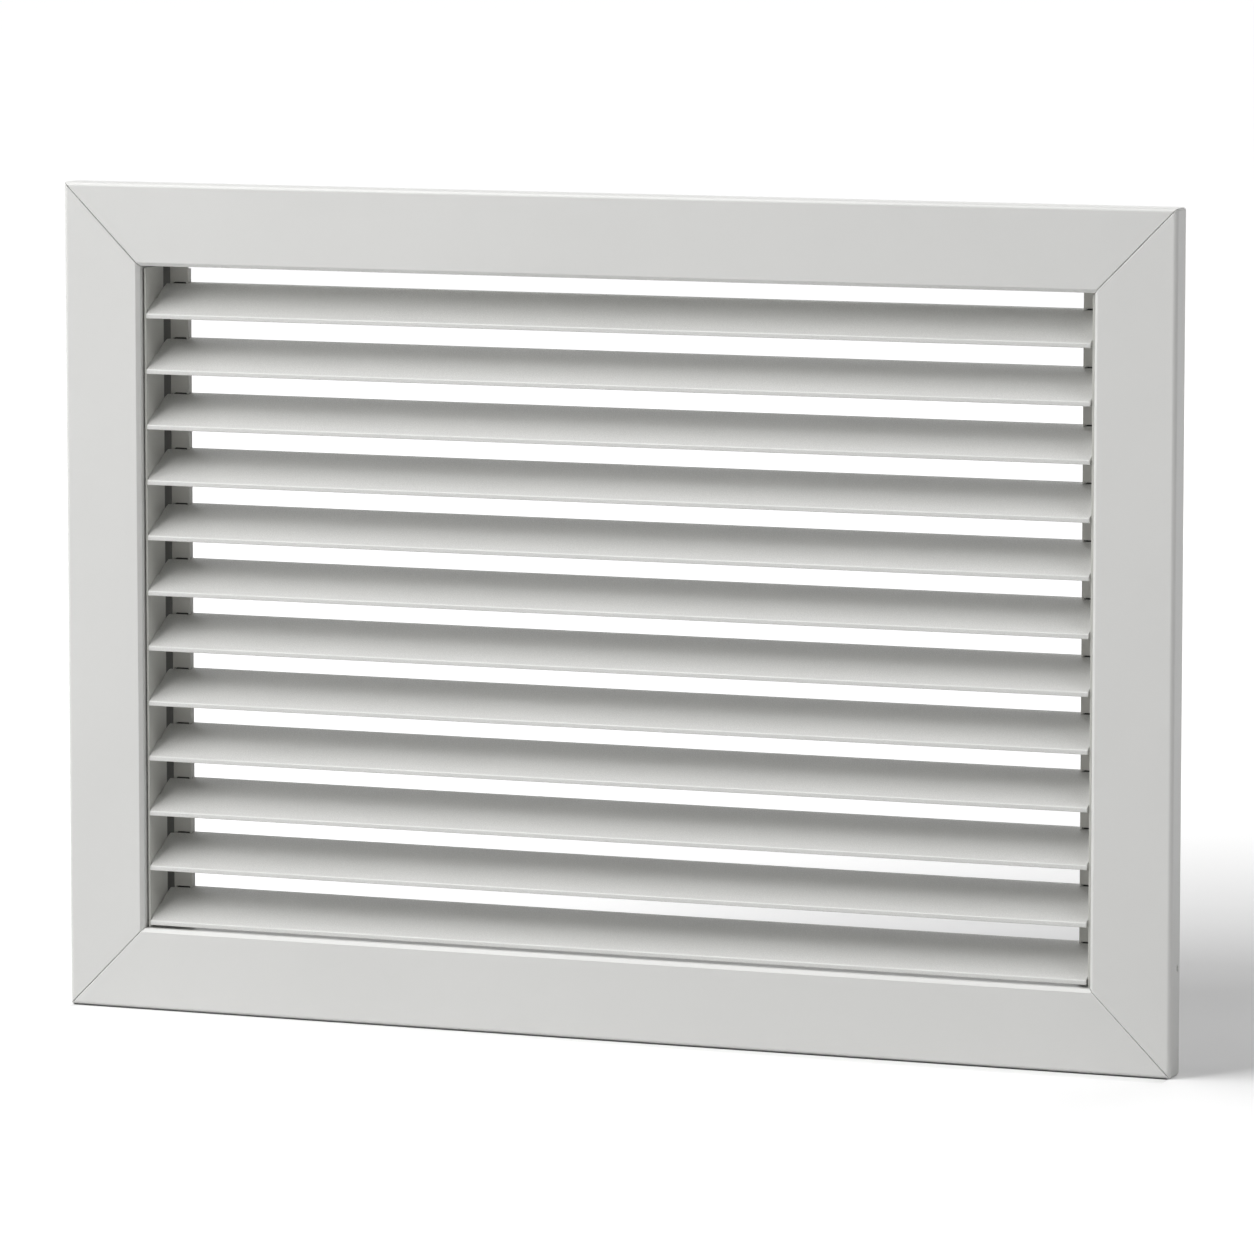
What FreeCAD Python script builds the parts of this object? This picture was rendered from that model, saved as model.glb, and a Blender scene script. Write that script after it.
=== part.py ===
import FreeCAD, Part
import math
import os

# Return air grille with fixed curved blades, in millimetres.
# X runs along the width, Y runs into the wall and Z is up. The origin is the centre of the
# wall opening, in the plane where the flange's rear edge meets the wall, so the face is at -Y.

# Opening and flange
opening_width = 450.0      # clear width inside the neck
opening_height = 300.0     # clear height inside the neck
flange_width = 37.0        # from the clear opening out to the outer edge
return_depth = 12.0        # from the face back to the wall
neck_depth = 36.0          # from the face to the neck's rear edge
face_wall = 1.6
return_wall = 1.5
neck_wall = 1.6
face_round = 2.0           # radius along the outer edge of the face
lip_bevel = 1.6            # bevel along the inner edge of the face
mitre_gap = 0.16           # hairline between two bars at a corner
mitre_break = 0.3          # broken edge of the mitre on the face
corner_round = 1.6         # radius of the frame's four outer corners

# Channel behind the face that takes the corner brackets
channel_offset = 10.0      # from the flange's outer edge to the channel
channel_width = 18.0
channel_depth = 2.6
rib_wall = 1.2
rib_hook = 2.0             # how far each rib hooks over the channel

# Corner brackets and their grub screws
bracket_thickness = 2.4
bracket_leg = 50.0         # from the bracket's outer corner to the end of a leg
bracket_side_gap = 0.2     # between the bracket and each side of the channel
grub_diameter = 5.0
grub_thread_gap = 0.05     # radial
grub_end_margin = 12.0     # from the screw's axis to the end of the leg
grub_stand_out = 1.0       # how far the screw stands behind the bracket
socket_across_flats = 2.5
socket_depth = 1.8

# Blades
blade_pitch = 25.0
bottom_gap = 1.3           # under the lowest blade
top_gap = 5.0              # least gap above the highest blade
nose_set_back = 2.8        # from the face to the front of the blades
blade_wall = 1.2
nose_depth = 2.4
nose_face_height = 1.5     # from the nose's underside to its upper round
nose_round = 0.9
nose_lower_round = 0.5
front_run = 14.4           # depth of the lower, hollow curve
rear_run = 9.8             # depth of the upper, rounded curve
front_angle = 24.5         # degrees above level at the nose
middle_angle = 36.5        # where the two curves meet
rear_angle = 11.5          # at the rear edge
blade_end_gap = 0.5        # between a blade's end and its side plate

# Side plates that carry the blades' ends
plate_thickness = 1.0
plate_set_back = 1.2       # from the front of the blades to the front of the plate
plate_depth = 18.2
plate_wall_gap = 0.8       # between the plate and the neck
plate_top_gap = 1.0        # above the plate, which stands on the bottom bar
tenon_start = 2.8          # from the nose's front to the tenon
tenon_depth = 8.6
tenon_stand_out = 0.4      # how far the staked tenon stands beyond its plate
tenon_gap = 0.12           # around the tenon in its slot

# Rear strips that hold the blades' rear edges
strip_width = 8.8
strip_wall = 1.0
strip_depth = 3.6          # of the strip's folded edges
strip_side_gap = 4.0       # between the strip and the neck
strip_overlap = 2.8        # from the strip's front back to the blades' rear edges
strip_blade_gap = 0.1      # between the strip and the blade's corner that is cut back for it
fold_gap = 1.5             # between the folded edges and the end feet
foot_length = 7.5
tab_side_gap = 0.3         # between a blade's tab and each side of its slot
slot_gap_above = 0.45
slot_gap_below = 0.12

# Rivets that hold the strips' feet to the neck
rivet_diameter = 3.2
rivet_hole_gap = 0.05      # radial
rivet_head_diameter = 6.0
rivet_head_height = 1.0
rivet_head_flat = 3.0      # diameter of the flat on top of the head
rivet_tail_diameter = 4.6
rivet_tail_height = 1.4

# Holes for the fixer's own screws and rivets
duct_hole_diameter = 3.5
duct_hole_spacing = 300.0
duct_hole_edge = 4.0       # from the neck's rear edge
side_hole_diameter = 2.8
side_hole_edge = 2.8       # from the flange's rear edge
side_hole_height = 47.0    # above the flange's bottom edge

# Places that follow from the sizes above
overall_width = opening_width + 2 * flange_width
overall_height = opening_height + 2 * flange_width
face_y = -return_depth
neck_rear_y = face_y + neck_depth
nose_y = face_y + nose_set_back
plate_outer_x = opening_width / 2 - plate_wall_gap
plate_inner_x = plate_outer_x - plate_thickness
blade_half_length = plate_inner_x - blade_end_gap
strip_x = opening_width / 2 - strip_side_gap - strip_width / 2
slot_width = strip_width - 2 * strip_wall
tab_width = slot_width - 2 * tab_side_gap
duct_hole_y = neck_rear_y - duct_hole_edge


# Blade curves, as points of depth behind the nose's front and height above its underside


def curve(start, heading, next_heading, run, offset=0.0):
    """Start, middle and end of an arc over a run in depth, or of one that lies offset below it."""
    sweep = [math.radians(heading + (next_heading - heading) * share) for share in (0, 0.5, 1)]
    radius = run / (math.sin(sweep[2]) - math.sin(sweep[0]))
    points = []
    for angle in sweep:
        depth = start[0] + radius * (math.sin(angle) - math.sin(sweep[0])) + offset * math.sin(angle)
        height = start[1] - radius * (math.cos(angle) - math.cos(sweep[0])) - offset * math.cos(angle)
        points.append((depth, height))
    return points


rise = math.radians(front_angle)
top_start = (nose_round * (1 - math.sin(rise)), nose_face_height + nose_round * math.cos(rise))
front_top = curve(top_start, front_angle, middle_angle, front_run)
rear_top = curve(front_top[2], middle_angle, rear_angle, rear_run)
front_under = curve(top_start, front_angle, middle_angle, front_run, blade_wall)
rear_under = curve(front_top[2], middle_angle, rear_angle, rear_run, blade_wall)
blade_rise = rear_top[2][1]
blade_count = int((opening_height - bottom_gap - blade_rise - top_gap) / blade_pitch) + 1
strip_front_y = nose_y + rear_top[2][0] - strip_overlap
rivet_y = strip_front_y + (strip_wall + foot_length) / 2

X = FreeCAD.Vector(1, 0, 0)
Y = FreeCAD.Vector(0, 1, 0)
Z = FreeCAD.Vector(0, 0, 1)
ORIGIN = FreeCAD.Vector(0, 0, 0)


def point(x, y, z):
    return FreeCAD.Vector(x, y, z)


def box(x_range, y_range, z_range):
    sides = [high - low for low, high in (x_range, y_range, z_range)]
    return Part.makeBox(*sides, point(x_range[0], y_range[0], z_range[0]))


def mirrored(shape, normal):
    return shape.mirror(ORIGIN, normal)


def polygon_face(points):
    return Part.Face(Part.makePolygon(points + points[:1]))


# Frame bars


def bar_profile(place):
    """Section of a bar, where place(d, y) puts a point d in from the outer edge, y behind the face."""
    rib_back = face_wall + channel_depth + rib_wall
    near = channel_offset
    far = channel_offset + channel_width
    inner = flange_width
    corners = [
        (0, return_depth),
        (0, face_round),
        (face_round, 0),
        (inner - lip_bevel, 0),
        (inner, lip_bevel),
        (inner, neck_depth),
        (inner - neck_wall, neck_depth),
        (inner - neck_wall, face_wall),
    ]
    far_rib = [
        (far + rib_wall, face_wall),
        (far + rib_wall, rib_back),
        (far - rib_hook, rib_back),
        (far - rib_hook, rib_back - rib_wall),
        (far, rib_back - rib_wall),
        (far, face_wall),
    ]
    near_rib = [(near + far - d, y) for d, y in reversed(far_rib)]
    tail = [(return_wall, face_wall), (return_wall, return_depth)]
    outline = [place(d, y) for d, y in corners + far_rib + near_rib + tail]
    turn = face_round * (1 - math.sqrt(0.5))
    edges = [Part.makeLine(a, b) for a, b in zip(outline, outline[1:] + outline[:1])]
    edges[1] = Part.Arc(outline[1], place(turn, turn), outline[2]).toShape()
    return Part.Face(Part.Wire(edges))


def mitre_wedge(length, depth):
    """Plan shape that mitres a bottom bar at both ends, leaving half the gap at each."""
    half = length / 2 - mitre_gap * math.sqrt(0.5)
    plan = [(-half, 0), (half, 0), (half - depth, depth), (depth - half, depth)]
    return polygon_face([point(x, 0, z) for x, z in plan]).extrude(Y * neck_depth)


def rounded_outline():
    """Block as large as the whole grille, with its four corners rounded."""
    sides = [(-size / 2, size / 2) for size in (overall_width, overall_height)]
    block = box(sides[0], (face_y, neck_rear_y), sides[1])
    corners = [edge for edge in block.Edges if abs(edge.tangentAt(0).dot(Y)) > 0.5]
    return block.makeFillet(corner_round, corners)


def mitre_groove(corner_x, corner_z):
    """Shallow groove along one mitre, made by the broken edges of its two bars."""
    inward = point(-math.copysign(1, corner_x), 0, -math.copysign(1, corner_z))
    across = inward.cross(Y).normalize()
    start = point(corner_x, face_y, corner_z)
    half = mitre_break + mitre_gap / 2
    reach = half + mitre_break
    section = [
        start + across * reach - Y * mitre_break,
        start - across * reach - Y * mitre_break,
        start + Y * half,
    ]
    return polygon_face(section).extrude(inward * flange_width)


def side_hole(x):
    y = -side_hole_edge
    z = side_hole_height - overall_height / 2
    depth = 2 * return_wall
    return Part.makeCylinder(side_hole_diameter / 2, depth, point(x - depth / 2, y, z), X)


def neck_hole(x, y, diameter):
    depth = 2 * (neck_wall + strip_wall)
    return Part.makeCylinder(diameter / 2, depth, point(x, y, -opening_height / 2 - depth / 2), Z)


def bottom_bar():
    left, bottom = -overall_width / 2, -overall_height / 2
    profile = bar_profile(lambda d, y: point(left, face_y + y, bottom + d))
    bar = profile.extrude(X * overall_width)
    wedge = mitre_wedge(overall_width, 2 * flange_width)
    bar = bar.common(wedge.translated(point(0, face_y, bottom)))
    for side in (-1, 1):
        bar = bar.cut(mitre_groove(side * overall_width / 2, bottom))
        bar = bar.cut(neck_hole(side * strip_x, rivet_y, rivet_diameter + 2 * rivet_hole_gap))
        bar = bar.cut(neck_hole(side * duct_hole_spacing / 2, duct_hole_y, duct_hole_diameter))
    return bar.common(rounded_outline())


def left_bar():
    left, bottom = -overall_width / 2, -overall_height / 2
    profile = bar_profile(lambda d, y: point(left + d, face_y + y, bottom))
    bar = profile.extrude(Z * overall_height)
    wedge = mitre_wedge(overall_height, 2 * flange_width)
    wedge.rotate(ORIGIN, Y, 90)
    bar = bar.common(wedge.translated(point(left, face_y, 0)))
    for side in (-1, 1):
        bar = bar.cut(mitre_groove(left, side * overall_height / 2))
    return bar.cut(side_hole(left)).common(rounded_outline())


# Corner brackets


def bracket_and_screws():
    """Bottom left bracket, pressed back against the hooked ribs by two grub screws."""
    outer = channel_offset + bracket_side_gap
    width = channel_width - 2 * bracket_side_gap
    leg = bracket_leg
    back = face_y + face_wall + channel_depth
    front = back - bracket_thickness
    corner = point(outer - overall_width / 2, front, outer - overall_height / 2)
    plan = [(0, 0), (leg, 0), (leg, width), (width, width), (width, leg), (0, leg)]
    bracket = polygon_face([corner + point(x, 0, z) for x, z in plan]).extrude(Y * bracket_thickness)
    screws = []
    far, near = leg - grub_end_margin, width / 2
    for along, up in ((far, near), (near, far)):
        tip = point(corner.x + along, face_y + face_wall, corner.z + up)
        length = back + grub_stand_out - tip.y
        bracket = bracket.cut(Part.makeCylinder(grub_diameter / 2 + grub_thread_gap, neck_depth, tip, Y))
        screws.append(grub_screw(tip, length))
    return bracket, screws


def grub_screw(tip, length):
    screw = Part.makeCylinder(grub_diameter / 2, length, tip, Y)
    end = tip + Y * length
    radius = socket_across_flats / math.sqrt(3)
    turns = [math.radians(60 * k) for k in range(6)]
    hexagon = [end + point(radius * math.cos(a), 0, radius * math.sin(a)) for a in turns]
    return screw.cut(polygon_face(hexagon).extrude(Y * -socket_depth))


# Blades


def height_on_front_curve(depth, offset):
    """Height at a depth on the front curve's upper side, or on the side that lies offset below it."""
    radius = front_run / (math.sin(math.radians(middle_angle)) - math.sin(rise)) + offset
    start = (top_start[0] + offset * math.sin(rise), top_start[1] - offset * math.cos(rise))
    angle = math.asin(math.sin(rise) + (depth - start[0]) / radius)
    return start[1] - radius * (math.cos(angle) - math.cos(rise))


def height_on_rear_curve(depth, offset):
    """The same on the rear curve, measured back from its rear end."""
    level = math.radians(rear_angle)
    radius = rear_run / (math.sin(level) - math.sin(math.radians(middle_angle))) + offset
    end = (rear_top[2][0] + offset * math.sin(level), rear_top[2][1] - offset * math.cos(level))
    angle = math.asin(math.sin(level) + (depth - end[0]) / radius)
    return end[1] - radius * (math.cos(angle) - math.cos(level))


def section_point(x, bottom, spot):
    return point(x, nose_y + spot[0], bottom + spot[1])


def section_edges(x, bottom, stretches):
    """Edges of a section: two spots make a line and three make an arc."""
    edges = []
    for spots in stretches:
        ends = [section_point(x, bottom, spot) for spot in spots]
        edges.append(Part.makeLine(*ends) if len(ends) == 2 else Part.Arc(*ends).toShape())
    return edges


def blade_section(x, bottom):
    low = nose_lower_round
    turn = low * (1 - math.sqrt(0.5))
    middle = math.radians((front_angle + 90) / 2)
    crown = (nose_round * (1 - math.sin(middle)), nose_face_height + nose_round * math.cos(middle))
    front_under_start = (nose_depth, height_on_front_curve(nose_depth, blade_wall))
    halfway = (nose_depth + front_under[2][0]) / 2
    front_under_middle = (halfway, height_on_front_curve(halfway, blade_wall))
    stretches = [
        [(0, low), (0, nose_face_height)],
        [(0, nose_face_height), crown, top_start],
        front_top,
        rear_top,
        [rear_top[2], rear_under[2]],
        rear_under[::-1],
        [front_under[2], front_under_middle, front_under_start],
        [front_under_start, (nose_depth, low)],
        [(nose_depth, low), (nose_depth - turn, turn), (nose_depth - low, 0)],
        [(nose_depth - low, 0), (low, 0)],
        [(low, 0), (turn, turn), (0, low)],
    ]
    return Part.Face(Part.Wire(section_edges(x, bottom, stretches)))


def tenon_section(x, bottom, start, end, grow):
    """Section of the blade's web between two depths, grown on every side."""
    depths = [start - grow, (start + end) / 2, end + grow]
    upper = [(depth, height_on_front_curve(depth, -grow)) for depth in depths]
    lower = [(depth, height_on_front_curve(depth, blade_wall + grow)) for depth in depths]
    stretches = [upper, [upper[2], lower[2]], lower[::-1], [lower[0], upper[0]]]
    return Part.Face(Part.Wire(section_edges(x, bottom, stretches)))


def blade(bottom):
    length = 2 * blade_half_length
    shape = blade_section(-blade_half_length, bottom).extrude(X * length)
    reach = plate_outer_x + tenon_stand_out
    tenon_end = tenon_start + tenon_depth
    tenon = tenon_section(-reach, bottom, tenon_start, tenon_end, 0)
    shape = shape.fuse(tenon.extrude(X * 2 * reach))
    shape = shape.removeSplitter()
    inner = strip_x - strip_width / 2 - strip_blade_gap
    cut_back = (strip_front_y - strip_blade_gap, neck_rear_y)
    for span in ((inner, strip_x - tab_width / 2), (strip_x + tab_width / 2, reach)):
        notch = box(span, cut_back, (bottom, bottom + blade_pitch))
        shape = shape.cut(notch).cut(mirrored(notch, X))
    return shape


def blade_bottoms():
    """Height of the underside of each nose, from the top blade down."""
    lowest = bottom_gap - opening_height / 2
    return [lowest + blade_pitch * step for step in reversed(range(blade_count))]


# Side plates and rear strips


def left_side_plate():
    left = -plate_outer_x
    front = nose_y + plate_set_back
    low, high = -opening_height / 2, opening_height / 2 - plate_top_gap
    plate = box((left, left + plate_thickness), (front, front + plate_depth), (low, high))
    for bottom in blade_bottoms():
        slot = tenon_section(left, bottom, tenon_start, tenon_start + tenon_depth, tenon_gap)
        plate = plate.cut(slot.extrude(X * plate_thickness))
    return plate


def left_rear_strip():
    left = -strip_x - strip_width / 2
    right = left + strip_width
    low, high = -opening_height / 2, opening_height / 2
    front, back = strip_front_y, strip_front_y + strip_depth
    strip = box((left, right), (front, front + strip_wall), (low, high))
    for edge in (left, right - strip_wall):
        span = (low + strip_wall + fold_gap, high - strip_wall - fold_gap)
        strip = strip.fuse(box((edge, edge + strip_wall), (front, back), span))
    for end in (low, high - strip_wall):
        strip = strip.fuse(box((left, right), (front, front + foot_length), (end, end + strip_wall)))
    strip = strip.removeSplitter()
    depth = strip_front_y - nose_y
    slot_low = height_on_rear_curve(depth, blade_wall) - slot_gap_below
    slot_high = height_on_rear_curve(depth + strip_wall, 0) + slot_gap_above
    for bottom in blade_bottoms():
        span = (bottom + slot_low, bottom + slot_high)
        window = (-strip_x - slot_width / 2, -strip_x + slot_width / 2)
        strip = strip.cut(box(window, (front, front + strip_wall), span))
    hole = neck_hole(-strip_x, rivet_y, rivet_diameter + 2 * rivet_hole_gap)
    strip = strip.cut(hole)
    return strip.cut(mirrored(hole, Z))


def rivet(x):
    """Rivet through the bottom bar and a strip's foot, with its head outside the neck."""
    outer = -opening_height / 2 - neck_wall
    inner = -opening_height / 2 + strip_wall
    outline = [
        (0, outer - rivet_head_height),
        (rivet_head_flat / 2, outer - rivet_head_height),
        (rivet_head_diameter / 2, outer),
        (rivet_diameter / 2, outer),
        (rivet_diameter / 2, inner),
        (rivet_tail_diameter / 2, inner),
        (rivet_tail_diameter / 2, inner + rivet_tail_height),
        (0, inner + rivet_tail_height),
    ]
    section = polygon_face([point(x + radius, rivet_y, z) for radius, z in outline])
    return section.revolve(point(x, rivet_y, 0), Z, 360)


def four_corners(shapes):
    """Each shape and its mirror images, at all four corners."""
    halves = shapes + [mirrored(shape, X) for shape in shapes]
    return halves + [mirrored(shape, Z) for shape in halves]


def build_nodes():
    nodes = {}
    bottom = bottom_bar()
    left = left_bar()
    nodes["frame_bottom"] = bottom
    nodes["frame_top"] = mirrored(bottom, Z)
    nodes["frame_left"] = left
    nodes["frame_right"] = mirrored(left, X)

    bracket, screws = bracket_and_screws()
    corners = ("bottom_left", "bottom_right", "top_left", "top_right")
    for corner, shape in zip(corners, four_corners([bracket])):
        nodes["corner_bracket_" + corner] = shape
    nodes["corner_grub_screws"] = Part.makeCompound(four_corners(screws))

    for number, bottom_z in enumerate(blade_bottoms(), start=1):
        nodes["blade_%02d" % number] = blade(bottom_z)
    plate = left_side_plate()
    nodes["side_plate_left"] = plate
    nodes["side_plate_right"] = mirrored(plate, X)
    strip = left_rear_strip()
    nodes["rear_strip_left"] = strip
    nodes["rear_strip_right"] = mirrored(strip, X)
    nodes["strip_rivets"] = Part.makeCompound(four_corners([rivet(-strip_x)]))
    return nodes


os.makedirs("parts", exist_ok=True)
for name, shape in build_nodes().items():
    if not shape.isValid() or shape.Volume <= 0:
        raise ValueError(name + " is not a sound solid")
    shape.exportStep("parts/" + name + ".step")
    print(name, len(shape.Solids), round(shape.Volume, 1))
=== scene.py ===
import bmesh
import bpy
import math
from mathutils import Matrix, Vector


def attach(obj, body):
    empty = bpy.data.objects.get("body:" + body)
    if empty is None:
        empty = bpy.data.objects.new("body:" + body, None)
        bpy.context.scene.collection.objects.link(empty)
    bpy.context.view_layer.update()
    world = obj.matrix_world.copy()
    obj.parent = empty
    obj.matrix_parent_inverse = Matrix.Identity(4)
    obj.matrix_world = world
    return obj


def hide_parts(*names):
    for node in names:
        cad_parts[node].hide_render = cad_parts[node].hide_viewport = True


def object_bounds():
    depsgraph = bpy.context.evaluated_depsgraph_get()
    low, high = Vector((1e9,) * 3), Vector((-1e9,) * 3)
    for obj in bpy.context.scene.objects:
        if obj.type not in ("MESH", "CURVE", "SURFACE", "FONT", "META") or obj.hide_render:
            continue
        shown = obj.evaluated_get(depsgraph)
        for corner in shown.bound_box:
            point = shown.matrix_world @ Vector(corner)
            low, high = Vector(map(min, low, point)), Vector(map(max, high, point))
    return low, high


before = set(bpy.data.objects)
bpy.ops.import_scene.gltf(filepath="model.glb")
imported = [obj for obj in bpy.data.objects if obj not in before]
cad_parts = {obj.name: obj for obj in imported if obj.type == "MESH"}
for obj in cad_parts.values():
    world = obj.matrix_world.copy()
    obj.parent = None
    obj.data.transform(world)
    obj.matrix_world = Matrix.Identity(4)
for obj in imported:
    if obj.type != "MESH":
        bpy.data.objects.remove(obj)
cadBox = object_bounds()
print("frame loaded")


# Materials

# Powder coat: one recipe, with its own colour and gloss for each kind of piece. Painted shade: it
# is dark and matt in the narrow pockets behind the side plates and in the strips' slots, where
# shade falls: between two distances from the middle and two behind the wall face.
frameCoat = {
    "colour": (0.71, 0.71, 0.695), "roughness": 0.36, "mottle": 0.012, "peel": 0.05,
    "covered": {"across": (0.2240, 0.2262), "deep": (0.003, 0.0215), "colour": (0.20, 0.20, 0.19)},
}
bladeCoat = {
    "colour": (0.69, 0.69, 0.672), "roughness": 0.27, "mottle": 0.012, "peel": 0.04,
    "covered": {"across": (0.2130, 0.2202), "deep": (0.0128, 0.030), "colour": (0.10, 0.10, 0.095)},
}
plateCoat = {"colour": (0.53, 0.53, 0.50), "roughness": 0.42, "mottle": 0.015, "peel": 0.05}
# the rear strips' coat is their own olive grey, darkened further as painted shade for the shade
# they lie in
stripCoat = {"colour": (0.46, 0.455, 0.425), "roughness": 0.42, "mottle": 0.015, "peel": 0.05}
coatGrain = {
    "mottleScale": 9.0, "mottleDetail": 3.0,
    "speckScale": 3200.0, "speckDetail": 2.0, "speckRange": 0.04,
    "peelScale": 900.0, "peelDetail": 2.0, "peelDepth": 0.00004,
    "specular": 0.5, "refraction": 1.5,
}

# Bare metals of the hidden fixings, each with its grain's fineness along X, Y and Z
bracketMetal = {"colour": (0.62, 0.63, 0.64), "roughness": 0.38, "grain": (40, 40, 900)}
screwMetal = {"colour": (0.48, 0.49, 0.51), "roughness": 0.30, "grain": (600, 90, 600)}
rivetMetal = {"colour": (0.66, 0.67, 0.68), "roughness": 0.34, "grain": (300, 300, 300)}
metalGrain = {
    "detail": 4.0, "darkest": 0.9, "smoother": 0.06, "rougher": 0.08,
    "bump": 0.15, "bumpDepth": 0.00002,
}
noiseSpan = (0.3, 0.7)  # where most of a noise value lies
fineRoughness = 0.6  # of the noise for peel and metal grain


def newMaterial(name):
    material = bpy.data.materials.new(name)
    material.use_nodes = True
    tree = material.node_tree
    place = tree.nodes.new("ShaderNodeTexCoord").outputs["Object"]
    return material, tree, tree.nodes["Principled BSDF"], place


def noise(tree, place, scale, detail, roughness=0.5):
    texture = tree.nodes.new("ShaderNodeTexNoise")
    texture.inputs["Scale"].default_value = scale
    texture.inputs["Detail"].default_value = detail
    texture.inputs["Roughness"].default_value = roughness
    tree.links.new(place, texture.inputs["Vector"])
    return texture.outputs["Fac"]


def stretched(tree, value, span, result=(0.0, 1.0)):
    # a value that runs over the span, made to run over the result and held at its ends
    remap = tree.nodes.new("ShaderNodeMapRange")
    sockets = ("From Min", "From Max", "To Min", "To Max")
    for socket, number in zip(sockets, (*span, *result)):
        remap.inputs[socket].default_value = number
    tree.links.new(value, remap.inputs["Value"])
    return remap.outputs["Result"]


def bump(tree, height, strength, depth, shader):
    node = tree.nodes.new("ShaderNodeBump")
    node.inputs["Strength"].default_value = strength
    node.inputs["Distance"].default_value = depth
    tree.links.new(height, node.inputs["Height"])
    tree.links.new(node.outputs["Normal"], shader.inputs["Normal"])


def mixed(tree, factor, first, second):
    # a colour between two, each a colour or a node's output
    mix = tree.nodes.new("ShaderNodeMix")
    mix.data_type = "RGBA"
    for socket, colour in zip(("A", "B"), (first, second)):
        if isinstance(colour, bpy.types.NodeSocket):
            tree.links.new(colour, mix.inputs[socket])
        else:
            mix.inputs[socket].default_value = (*colour, 1)
    tree.links.new(factor, mix.inputs["Factor"])
    return mix.outputs["Result"]


def calculate(tree, operation, *values):
    # each value is a float or a node's output
    node = tree.nodes.new("ShaderNodeMath")
    node.operation = operation
    for socket, value in zip(node.inputs, values):
        if isinstance(value, float):
            socket.default_value = value
        else:
            tree.links.new(value, socket)
    return node.outputs["Value"]


def acrossAndDeep(tree, place):
    # distance from the middle, the same on both sides, and the place in front of or behind the wall
    axes = tree.nodes.new("ShaderNodeSeparateXYZ")
    tree.links.new(place, axes.inputs["Vector"])
    return calculate(tree, "ABSOLUTE", axes.outputs["X"]), axes.outputs["Y"]


def within(tree, value, limits):
    low, high = limits
    return calculate(tree, "COMPARE", value, (low + high) / 2, (high - low) / 2)


def paintedShadePart(tree, place, covered):
    # 1 where shade is painted into the coat, in the pockets between pieces, and 0 elsewhere
    across, deep = acrossAndDeep(tree, place)
    inside = within(tree, across, covered["across"]), within(tree, deep, covered["deep"])
    return calculate(tree, "MULTIPLY", *inside)


def powderCoat(name, look):
    material, tree, shader, place = newMaterial(name)
    mottle = noise(tree, place, coatGrain["mottleScale"], coatGrain["mottleDetail"])
    dark = [c * (1 - look["mottle"]) for c in look["colour"]]
    light = [c * (1 + look["mottle"]) for c in look["colour"]]
    colour = mixed(tree, stretched(tree, mottle, noiseSpan), dark, light)
    # painted shade: the coat turns dark and loses its gloss in the pockets between pieces, where
    # shade falls
    if "covered" in look:
        paintedShadeMask = paintedShadePart(tree, place, look["covered"])
        colour = mixed(tree, paintedShadeMask, colour, look["covered"]["colour"])
        plain = coatGrain["specular"]
        gloss = calculate(tree, "MULTIPLY_ADD", paintedShadeMask, -plain, plain)
        tree.links.new(gloss, shader.inputs["Specular IOR Level"])
    tree.links.new(colour, shader.inputs["Base Color"])
    speck = noise(tree, place, coatGrain["speckScale"], coatGrain["speckDetail"])
    middle, half = look["roughness"], coatGrain["speckRange"]
    rough = stretched(tree, speck, noiseSpan, (middle - half, middle + half))
    tree.links.new(rough, shader.inputs["Roughness"])
    peel = noise(tree, place, coatGrain["peelScale"], coatGrain["peelDetail"], fineRoughness)
    bump(tree, peel, look["peel"], coatGrain["peelDepth"], shader)
    shader.inputs["IOR"].default_value = coatGrain["refraction"]
    return material


def bareMetal(name, look):
    material, tree, shader, place = newMaterial(name)
    finer = tree.nodes.new("ShaderNodeMapping")
    finer.inputs["Scale"].default_value = look["grain"]
    tree.links.new(place, finer.inputs["Vector"])
    grain = noise(tree, finer.outputs["Vector"], 1.0, metalGrain["detail"], fineRoughness)
    dark = [c * metalGrain["darkest"] for c in look["colour"]]
    colour = mixed(tree, stretched(tree, grain, noiseSpan), dark, look["colour"])
    tree.links.new(colour, shader.inputs["Base Color"])
    roughest = look["roughness"] + metalGrain["rougher"]
    smoothest = look["roughness"] - metalGrain["smoother"]
    rough = stretched(tree, grain, noiseSpan, (smoothest, roughest))
    tree.links.new(rough, shader.inputs["Roughness"])
    bump(tree, grain, metalGrain["bump"], metalGrain["bumpDepth"], shader)
    shader.inputs["Metallic"].default_value = 1.0
    return material


coats = {
    "frame": powderCoat("frameCoat", frameCoat),
    "blade": powderCoat("bladeCoat", bladeCoat),
    "plate": powderCoat("plateCoat", plateCoat),
    "strip": powderCoat("stripCoat", stripCoat),
}
metals = {
    "bracket": bareMetal("bracketMetal", bracketMetal),
    "screw": bareMetal("screwMetal", screwMetal),
    "rivet": bareMetal("rivetMetal", rivetMetal),
}
print("materials made")


# Pieces

# Widths in metres and angles in degrees: what is merged, what counts as flat and what gets rounded
edgeWork = {"weld": 0.00001, "flatAngle": 0.6, "sharpAngle": 32.0, "steps": 2, "faceWeight": 80}
edgeWidths = {"frame": 0.00022, "blade": 0.00018, "plate": 0.00012, "strip": 0.00015}


def addObject(name, data):
    made = bpy.data.objects.new(name, data)
    bpy.context.scene.collection.objects.link(made)
    return made


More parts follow.
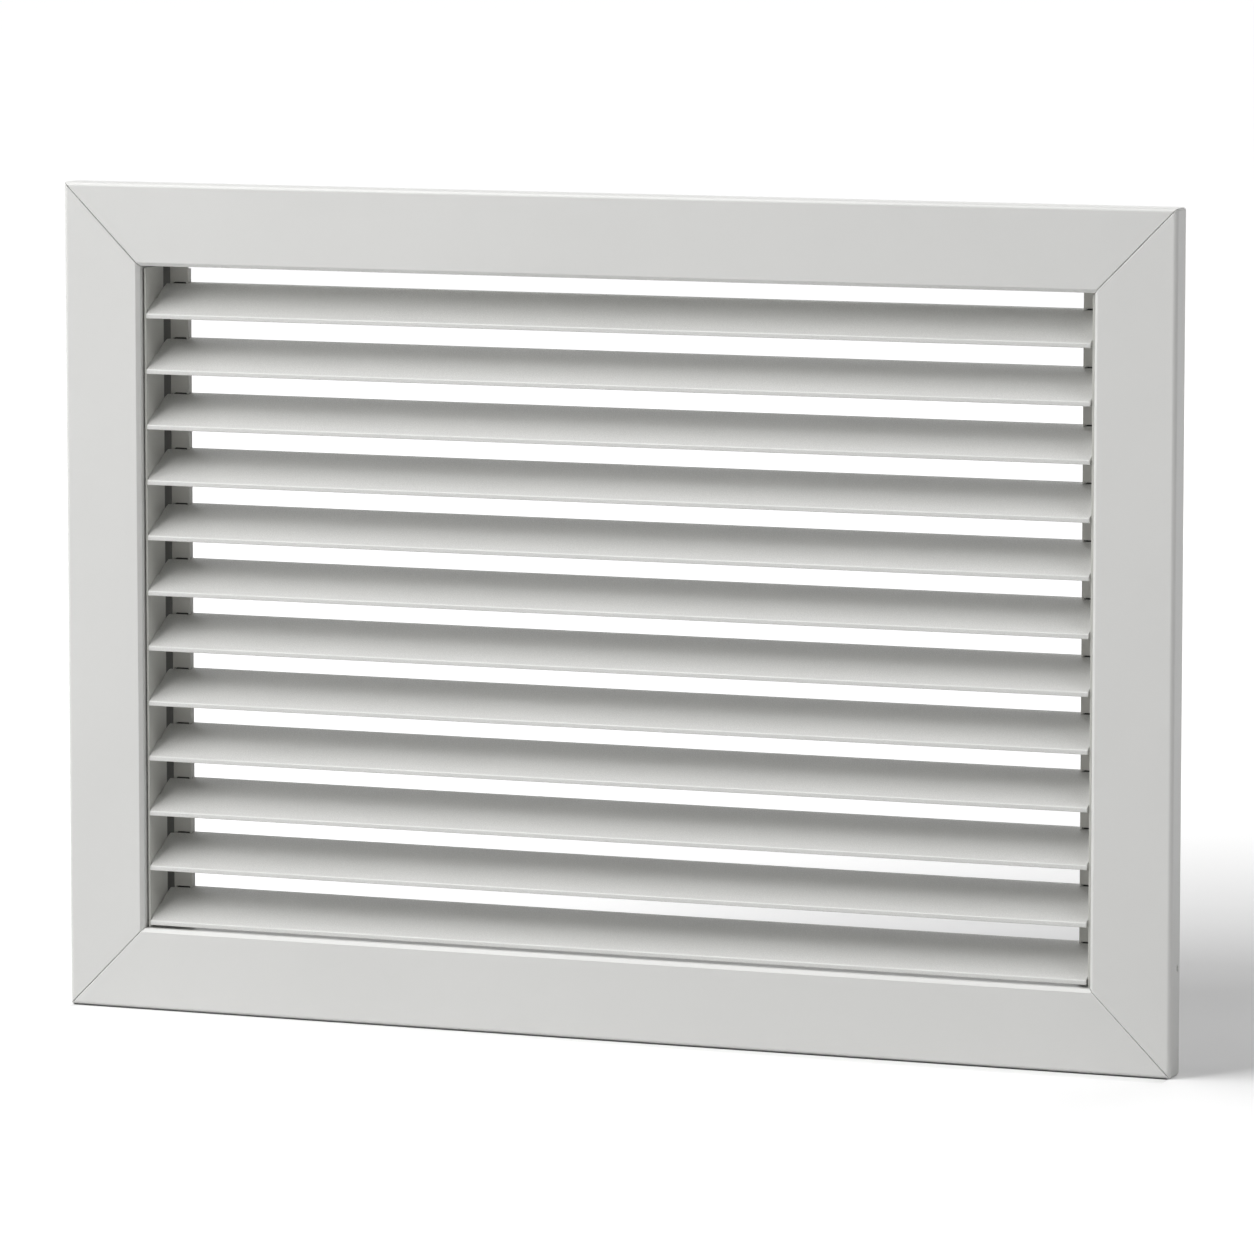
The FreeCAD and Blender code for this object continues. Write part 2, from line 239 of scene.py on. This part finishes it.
def roundEdges(mesh, width):
    bm = bmesh.new()
    bm.from_mesh(mesh)
    bmesh.ops.remove_doubles(bm, verts=bm.verts, dist=edgeWork["weld"])
    flat = math.radians(edgeWork["flatAngle"])
    bmesh.ops.dissolve_limit(bm, angle_limit=flat, verts=bm.verts, edges=bm.edges)
    limit = math.radians(edgeWork["sharpAngle"])
    sharp = [e for e in bm.edges if e.is_manifold and e.calc_face_angle() > limit]
    bmesh.ops.bevel(
        bm, geom=sharp, offset=width, offset_type="OFFSET", segments=edgeWork["steps"],
        profile=0.5, affect="EDGES", material=-1, clamp_overlap=False,
    )
    bmesh.ops.remove_doubles(bm, verts=bm.verts, dist=edgeWork["weld"])
    for face in bm.faces:
        face.smooth = True
    bm.to_mesh(mesh)
    bm.free()


def softEdged(node, kind):
    # a copy of the CAD piece with its sharp edges rounded as the coat rounds them
    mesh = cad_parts[node].data.copy()
    words = node.split("_")
    name = words[0] + "".join(word.capitalize() for word in words[1:]) + "Coated"
    piece = addObject(name, mesh)
    roundEdges(mesh, edgeWidths[kind])
    mesh.materials.clear()
    mesh.materials.append(coats[kind])
    weighted = piece.modifiers.new("flatFaces", "WEIGHTED_NORMAL")
    weighted.keep_sharp = True
    weighted.weight = edgeWork["faceWeight"]
    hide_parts(node)
    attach(piece, "root")


def repaint(node, material):
    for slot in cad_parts[node].material_slots:
        slot.material = material


kinds = {"frame": "frame", "blade": "blade", "side": "plate", "rear": "strip"}  # by first word
bareNodes = {"corner_grub_screws": "screw", "strip_rivets": "rivet"}
for node in sorted(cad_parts):
    firstWord = node.split("_")[0]
    if firstWord in kinds:
        softEdged(node, kinds[firstWord])
    elif node.startswith("corner_bracket"):
        repaint(node, metals["bracket"])
    else:
        repaint(node, metals[bareNodes[node]])
print("pieces finished")


# Floor and backdrop

studio = {
    "floorColour": 0.82, "underEdgeColour": 0.05, "floorRoughness": 0.9,
    "floorSize": 60.0, "shadowSpot": (0.19, 0.25),
}
# each rise of the floor's painted glow: from and to a distance in metres, and how high it is at the
# end
floorLifts = {"near": (0.04, 0.62, 0.56), "far": (0.7, 3.0, 0.44), "front": (0.0015, 0.015, 1.0)}
# the bottom bar's rounded front edge over the floor: how far in front of the wall it is, half its
# length, how fast the distance from it grows past its ends, and the rise out of the painted contact
# shadow under it
frontEdge = {
    "forward": 0.0110, "halfLength": 0.2604, "growth": 10.0, "underEdge": (0.0006, 0.0014, 1.0),
}
floorHeight = cadBox[0][2]


def rising(tree, value, rise):
    start, end, height = rise
    return stretched(tree, value, (start, end), (0.0, height))


def whenSeen(tree):
    # 1 for what the camera sees, also mirrored or through glass, and 0 for what lights the grille
    path = tree.nodes.new("ShaderNodeLightPath").outputs
    mirrored = calculate(tree, "MAXIMUM", path["Is Camera Ray"], path["Is Glossy Ray"])
    return calculate(tree, "MAXIMUM", mirrored, path["Is Transmission Ray"])


def fromEdge(tree, place):
    # distance along the floor from the bottom bar's front edge
    across, deep = acrossAndDeep(tree, place)
    ahead = calculate(tree, "ADD", deep, frontEdge["forward"])
    past = calculate(tree, "SUBTRACT", across, frontEdge["halfLength"])
    past = calculate(tree, "MULTIPLY", past, frontEdge["growth"])
    return calculate(tree, "MAXIMUM", calculate(tree, "ABSOLUTE", ahead), past)


def floorGlow(tree, place, edge):
    # painted light: a glow seen from the camera, also mirrored or through glass, lifts the floor to
    # white, least where the grille's shadow lies and fading to nothing at the bottom bar's front
    # edge
    distance = tree.nodes.new("ShaderNodeVectorMath")
    distance.operation = "DISTANCE"
    distance.inputs[1].default_value = (*studio["shadowSpot"], floorHeight)
    tree.links.new(place, distance.inputs[0])
    away = distance.outputs["Value"]
    near, far = rising(tree, away, floorLifts["near"]), rising(tree, away, floorLifts["far"])
    lift = calculate(tree, "ADD", near, far)
    lift = calculate(tree, "MULTIPLY", lift, rising(tree, edge, floorLifts["front"]))
    return calculate(tree, "MULTIPLY", lift, whenSeen(tree))


def floorMaterial():
    material, tree, shader, place = newMaterial("paleFloor")
    edge = fromEdge(tree, place)
    dark, pale = [studio["underEdgeColour"]] * 3, [studio["floorColour"]] * 3
    # painted shadow: the floor's colour is dark in a thin strip under the bottom bar's front edge,
    # as a contact shadow
    colour = mixed(tree, rising(tree, edge, frontEdge["underEdge"]), dark, pale)
    tree.links.new(colour, shader.inputs["Base Color"])
    shader.inputs["Roughness"].default_value = studio["floorRoughness"]
    shader.inputs["Specular IOR Level"].default_value = 0.0
    shader.inputs["Emission Color"].default_value = (1, 1, 1, 1)
    tree.links.new(floorGlow(tree, place, edge), shader.inputs["Emission Strength"])
    return material


def makeFloor():
    bm = bmesh.new()
    bmesh.ops.create_grid(bm, x_segments=1, y_segments=1, size=studio["floorSize"] / 2)
    bmesh.ops.translate(bm, verts=bm.verts, vec=(0, 0, floorHeight))
    mesh = bpy.data.meshes.new("floor")
    bm.to_mesh(mesh)
    bm.free()
    mesh.materials.append(floorMaterial())
    floor = addObject("floor", mesh)


def makeBackdrop():
    # plain white where it is seen, with no light of its own
    world = bpy.data.worlds.new("studioBackdrop")
    bpy.context.scene.world = world
    world.use_nodes = True
    white = world.node_tree.nodes["Background"]
    white.inputs["Color"].default_value = (1, 1, 1, 1)
    world.node_tree.links.new(whenSeen(world.node_tree), white.inputs["Strength"])


makeFloor()
makeBackdrop()


# Lamps and camera, each at an azimuth from the front and a height over the level, in degrees

lampDistance = 3.2
lamps = {
    "lowLeftLamp": {"watts": 28.0, "azimuth": -60.0, "height": 12.0, "size": (1.45, 1.45)},
    "leftLamp": {"watts": 17.0, "azimuth": -60.0, "height": 35.0, "size": (1.45, 1.45)},
    "frontLamp": {"watts": 35.0, "azimuth": -32.0, "height": 46.0, "size": (0.7, 1.8)},
    "topLamp": {"watts": 34.0, "azimuth": -70.0, "height": 66.0, "size": (1.45, 1.45)},
    "rightLamp": {"watts": 24.0, "azimuth": 68.0, "height": 40.0, "size": (1.45, 1.45)},
    "backLamp": {"watts": 13.0, "azimuth": 180.0, "height": 40.0, "size": (1.45, 1.45)},
}
# where the photograph was taken from
photoCamera = {
    "azimuth": 21.93, "height": 6.71, "distance": 3.327, "aim": (0.0060, 0.0, -0.0039),
    "lens": 217.0, "sensor": 36.0, "sightLimit": 200.0,
}


def stand(item, look, distance, aim=(0, 0, 0)):
    # puts a lamp or camera at its azimuth and height, looking at the aim
    turn, rise = math.radians(look["azimuth"]), math.radians(look["height"])
    level = math.cos(rise)
    away = Vector((math.sin(turn) * level, -math.cos(turn) * level, math.sin(rise)))
    item.location = Vector(aim) + away * distance
    item.rotation_euler = away.to_track_quat("Z", "Y").to_euler()


def makeLamp(name, look):
    light = bpy.data.lights.new(name, "AREA")
    light.shape = "RECTANGLE"
    light.size, light.size_y = look["size"]
    light.energy = look["watts"]
    stand(addObject(name, light), look, lampDistance)


def makeCamera(look):
    data = bpy.data.cameras.new("photoCamera")
    data.lens = look["lens"]
    data.sensor_width = look["sensor"]
    data.clip_end = look["sightLimit"]
    camera = addObject("photoCamera", data)
    stand(camera, look, look["distance"], look["aim"])
    bpy.context.scene.camera = camera


for name, look in lamps.items():
    makeLamp(name, look)
makeCamera(photoCamera)
bpy.context.scene.view_settings.view_transform = "Standard"
print("studio set up")
